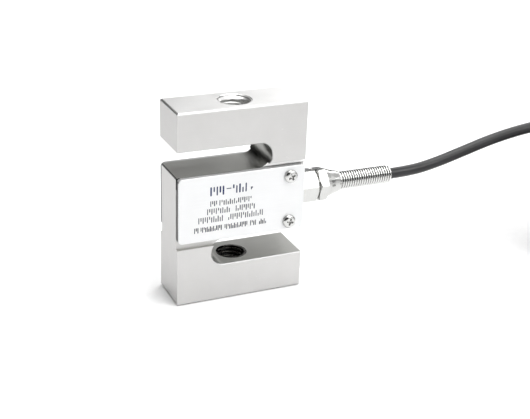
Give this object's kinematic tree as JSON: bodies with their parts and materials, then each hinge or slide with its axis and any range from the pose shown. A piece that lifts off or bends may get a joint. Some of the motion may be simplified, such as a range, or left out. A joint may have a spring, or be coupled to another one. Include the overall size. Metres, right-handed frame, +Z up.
{
  "type": "s type load cell",
  "caption": "S-shaped steel load cell with threaded ends, bare covers over its gauge pockets, and a sheathed cable leaving through a gland with a spring strain relief.",
  "frame": {"origin": "on the axis shared by the two mounting threads, in the plane of the bottom face", "axes": "+Z up along the load axis, towards the arm joined above the cable; +X to the side that the cable leaves by; -Y to the front"},
  "size_m": [0.2495, 0.0732, 0.0762],
  "materials": {
    "beam_steel": "satin nickel-plated alloy steel, lightly lapped",
    "cover_plate": "fine matt silver, bare",
    "cover_screw": "stainless steel",
    "gauge_foil": "amber polyimide carrier",
    "terminal_board": "green glass-fibre board",
    "gauge_lead": "tinned copper ribbon",
    "potting": "soft translucent silicone",
    "gland_seal": "black rubber",
    "gland_plate": "bright nickel-plated brass",
    "spring_wire": "bright spring steel",
    "cable_jacket": "matt PVC",
    "core_red": "red core insulation",
    "core_black": "black core insulation",
    "core_green": "green core insulation",
    "core_white": "white core insulation",
    "shield": "twisted tinned copper",
    "heat_shrink": "black heat-shrink",
    "tie": "natural nylon"
  },
  "bodies": {
    "root": {"s_beam": "beam_steel", "front_cover_plate": "cover_plate", "rear_cover_plate": "cover_plate", "front_cover_screws": "cover_screw", "rear_cover_screws": "cover_screw", "front_strain_gauges": "gauge_foil", "rear_strain_gauges": "gauge_foil", "front_terminal_board": "terminal_board", "rear_terminal_board": "terminal_board", "front_gauge_leads": "gauge_lead", "rear_gauge_leads": "gauge_lead", "front_potting": "potting", "rear_potting": "potting", "red_core": "core_red", "black_core": "core_black", "green_core": "core_green", "white_core": "core_white", "gland_sealing_washer": "gland_seal", "gland_body": "gland_plate", "gland_cap_nut": "gland_plate", "cable_grommet": "gland_seal", "strain_relief_spring": "spring_wire", "cable_entry": "cable_jacket", "cable_run": "cable_jacket", "cable_coil": "cable_jacket", "cable_tail": "cable_jacket", "cable_end_sleeve": "heat_shrink", "red_lead": "core_red", "black_lead": "core_black", "green_lead": "core_green", "white_lead": "core_white", "shield_pigtail": "shield", "coil_ties": "tie"}
  },
  "joints": []
}
